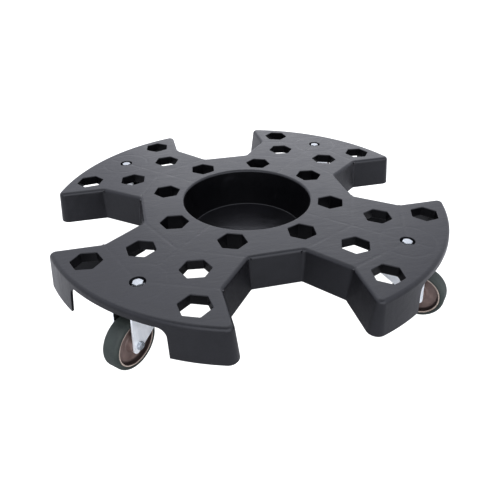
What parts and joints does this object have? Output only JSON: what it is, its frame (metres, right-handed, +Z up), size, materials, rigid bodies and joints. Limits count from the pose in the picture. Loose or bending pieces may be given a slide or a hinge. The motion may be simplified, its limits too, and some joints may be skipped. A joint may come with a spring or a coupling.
{
  "type": "wheel dolly",
  "caption": "Round four-lobed moulded platform with a central bowl, hexagonal through-holes and open notches, carried on swivel castors under its lobes.",
  "frame": {"origin": "on the floor under the middle of the bowl, midway between the four castors", "axes": "+Z up from the floor to the deck; the notches open along +X, -X, +Y and -Y; the lobes lie on the diagonals between them"},
  "size_m": [0.613, 0.613, 0.114],
  "materials": {
    "platform": "satin moulded polypropylene, near black",
    "zinc": "bright zinc-plated pressed steel",
    "steel": "plain turned steel",
    "rim": "dark brown moulded wheel centre",
    "tread": "dark grey rubber band",
    "bush": "natural nylon"
  },
  "bodies": {
    "platform": {"platform": "platform", "rear_right_mounting_bolt": "zinc", "rear_right_washer": "zinc", "rear_right_upper_race": "zinc", "rear_right_kingpin": "steel", "rear_right_lower_race": "zinc", "rear_right_mounting_nut": "zinc", "rear_left_mounting_bolt": "zinc", "rear_left_washer": "zinc", "rear_left_upper_race": "zinc", "rear_left_kingpin": "steel", "rear_left_lower_race": "zinc", "rear_left_mounting_nut": "zinc", "front_left_mounting_bolt": "zinc", "front_left_washer": "zinc", "front_left_upper_race": "zinc", "front_left_kingpin": "steel", "front_left_lower_race": "zinc", "front_left_mounting_nut": "zinc", "front_right_mounting_bolt": "zinc", "front_right_washer": "zinc", "front_right_upper_race": "zinc", "front_right_kingpin": "steel", "front_right_lower_race": "zinc", "front_right_mounting_nut": "zinc"},
    "rear_right_fork": {"rear_right_fork": "zinc", "rear_right_ball_ring": "steel", "rear_right_axle_bolt": "zinc", "rear_right_axle_nut": "zinc", "rear_right_axle_sleeve": "steel"},
    "rear_right_wheel": {"rear_right_wheel_rim": "rim", "rear_right_wheel_tread": "tread", "rear_right_wheel_bush": "bush"},
    "rear_left_fork": {"rear_left_fork": "zinc", "rear_left_ball_ring": "steel", "rear_left_axle_bolt": "zinc", "rear_left_axle_nut": "zinc", "rear_left_axle_sleeve": "steel"},
    "rear_left_wheel": {"rear_left_wheel_rim": "rim", "rear_left_wheel_tread": "tread", "rear_left_wheel_bush": "bush"},
    "front_left_fork": {"front_left_fork": "zinc", "front_left_ball_ring": "steel", "front_left_axle_bolt": "zinc", "front_left_axle_nut": "zinc", "front_left_axle_sleeve": "steel"},
    "front_left_wheel": {"front_left_wheel_rim": "rim", "front_left_wheel_tread": "tread", "front_left_wheel_bush": "bush"},
    "front_right_fork": {"front_right_fork": "zinc", "front_right_ball_ring": "steel", "front_right_axle_bolt": "zinc", "front_right_axle_nut": "zinc", "front_right_axle_sleeve": "steel"},
    "front_right_wheel": {"front_right_wheel_rim": "rim", "front_right_wheel_tread": "tread", "front_right_wheel_bush": "bush"}
  },
  "joints": [
    {"name": "rear_right_swivel", "type": "hinge", "parent": "platform", "child": "rear_right_fork", "pos_m": [0.18738, 0.18738, 0.09], "axis": [0, 0, 1], "continuous": true},
    {"name": "rear_right_roll", "type": "hinge", "parent": "rear_right_fork", "child": "rear_right_wheel", "pos_m": [0.2086, 0.2086, 0.0375], "axis": [-0.7071, 0.7071, 0], "continuous": true},
    {"name": "rear_left_swivel", "type": "hinge", "parent": "platform", "child": "rear_left_fork", "pos_m": [-0.18738, 0.18738, 0.09], "axis": [0, 0, 1], "continuous": true},
    {"name": "rear_left_roll", "type": "hinge", "parent": "rear_left_fork", "child": "rear_left_wheel", "pos_m": [-0.2086, 0.2086, 0.0375], "axis": [-0.7071, -0.7071, 0], "continuous": true},
    {"name": "front_left_swivel", "type": "hinge", "parent": "platform", "child": "front_left_fork", "pos_m": [-0.18738, -0.18738, 0.09], "axis": [0, 0, 1], "continuous": true},
    {"name": "front_left_roll", "type": "hinge", "parent": "front_left_fork", "child": "front_left_wheel", "pos_m": [-0.2086, -0.2086, 0.0375], "axis": [0.7071, -0.7071, 0], "continuous": true},
    {"name": "front_right_swivel", "type": "hinge", "parent": "platform", "child": "front_right_fork", "pos_m": [0.18738, -0.18738, 0.09], "axis": [0, 0, 1], "continuous": true},
    {"name": "front_right_roll", "type": "hinge", "parent": "front_right_fork", "child": "front_right_wheel", "pos_m": [0.2086, -0.2086, 0.0375], "axis": [0.7071, 0.7071, 0], "continuous": true}
  ]
}
